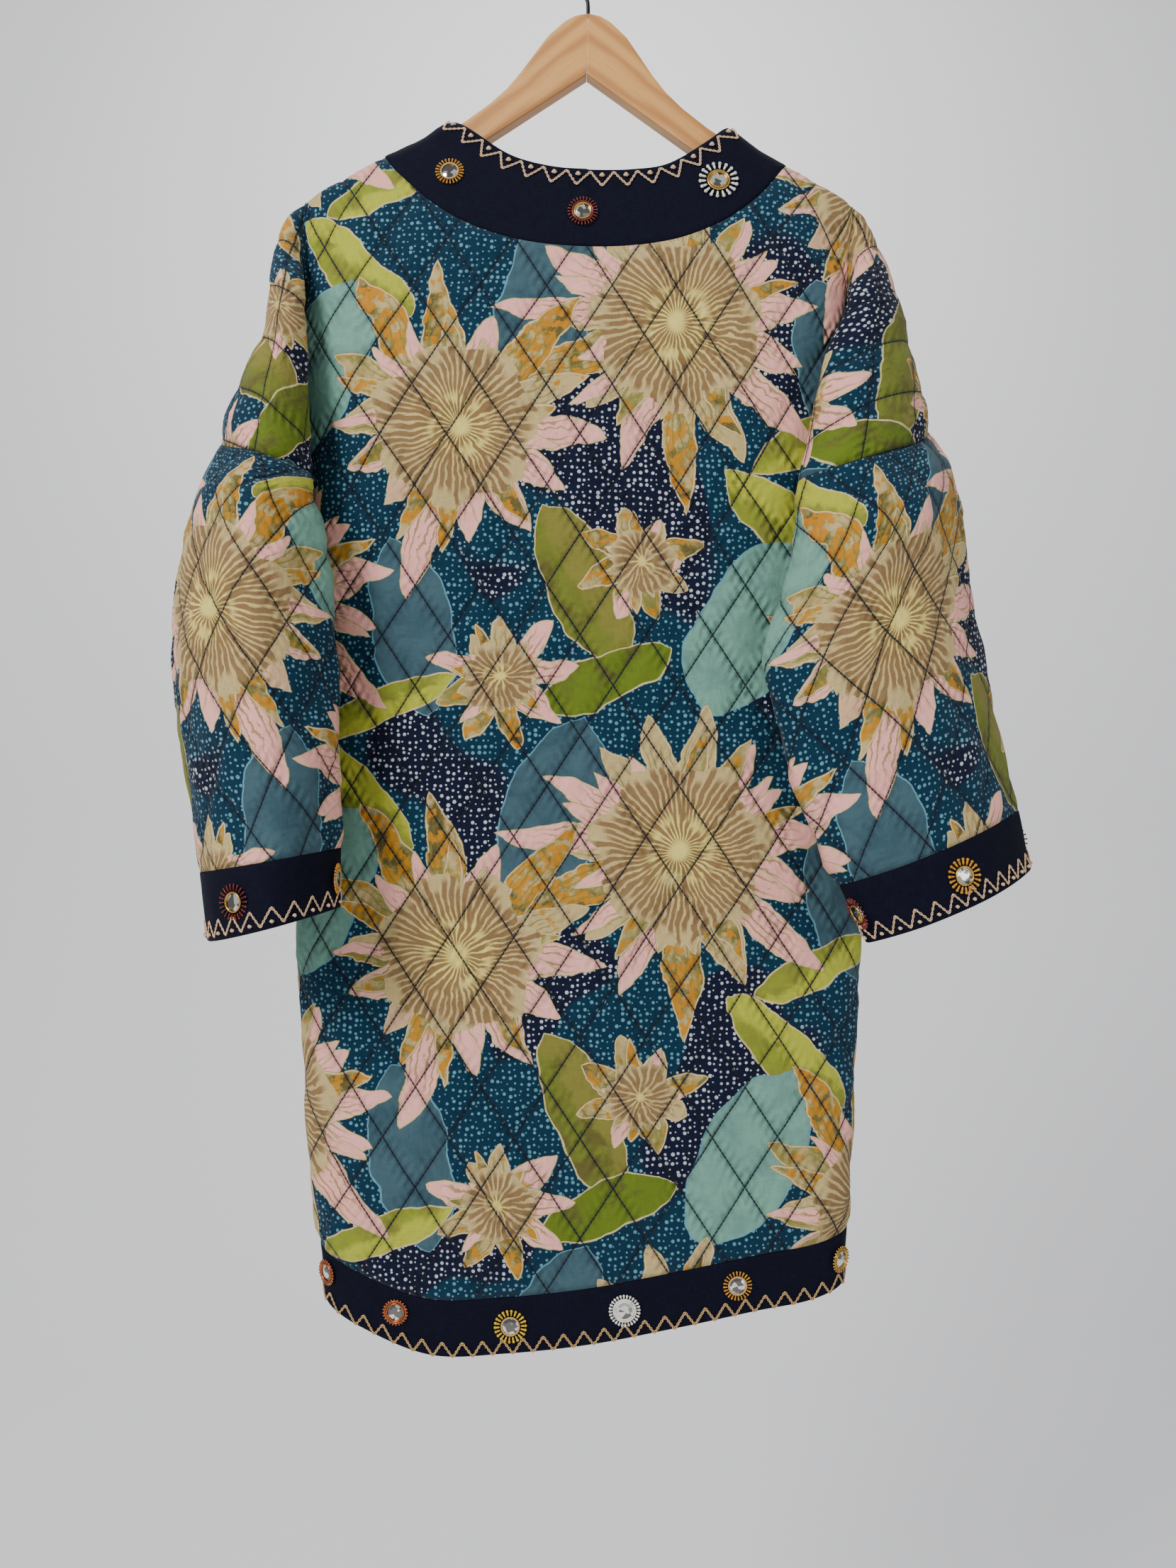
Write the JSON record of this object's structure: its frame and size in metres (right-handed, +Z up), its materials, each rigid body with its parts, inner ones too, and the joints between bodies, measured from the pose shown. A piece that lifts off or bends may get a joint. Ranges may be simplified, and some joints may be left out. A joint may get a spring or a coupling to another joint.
{
  "type": "quilted coat on a hanger",
  "caption": "Open-fronted quilted coat with dropped sleeves and dark bands set with small round mirrors, hanging on a wooden hanger.",
  "frame": {"origin": "inside top of the hanger's hook, where a rail or nail carries it", "axes": "+Z up, -Y out of the coat's back towards the viewer, +X to the viewer's right"},
  "size_m": [0.643, 0.1944, 1.1019],
  "materials": {
    "quilted_cloth": "slubby woven cotton and linen print, diamond quilted, matt",
    "band_cloth": "plain dark navy weave, matt",
    "mirror": "small glass mirrors worked round with beads",
    "wood": "clear varnished light wood, satin",
    "black_wire": "black wire, semi gloss"
  },
  "bodies": {
    "root": {"back": "quilted_cloth", "front_left": "quilted_cloth", "front_right": "quilted_cloth", "sleeve_left": "quilted_cloth", "sleeve_right": "quilted_cloth", "neck_band": "band_cloth", "front_band_left": "band_cloth", "front_band_right": "band_cloth", "hem_band_back": "band_cloth", "hem_band_front_left": "band_cloth", "hem_band_front_right": "band_cloth", "cuff_left": "band_cloth", "cuff_right": "band_cloth", "mirror_neck_1": "mirror", "mirror_neck_2": "mirror", "mirror_neck_3": "mirror", "mirror_hem_1": "mirror", "mirror_hem_2": "mirror", "mirror_hem_3": "mirror", "mirror_hem_4": "mirror", "mirror_hem_5": "mirror", "mirror_hem_6": "mirror", "mirror_hem_7": "mirror", "mirror_hem_8": "mirror", "mirror_hem_9": "mirror", "mirror_hem_10": "mirror", "mirror_front_left_1": "mirror", "mirror_front_left_2": "mirror", "mirror_front_left_3": "mirror", "mirror_front_left_4": "mirror", "mirror_front_left_5": "mirror", "mirror_front_left_6": "mirror", "mirror_front_right_1": "mirror", "mirror_front_right_2": "mirror", "mirror_front_right_3": "mirror", "mirror_front_right_4": "mirror", "mirror_front_right_5": "mirror", "mirror_front_right_6": "mirror", "mirror_cuff_left_1": "mirror", "mirror_cuff_left_2": "mirror", "mirror_cuff_left_3": "mirror", "mirror_cuff_left_4": "mirror", "mirror_cuff_right_1": "mirror", "mirror_cuff_right_2": "mirror", "mirror_cuff_right_3": "mirror", "mirror_cuff_right_4": "mirror", "hanger_left": "wood", "hanger_right": "wood", "hook": "black_wire"}
  },
  "joints": []
}
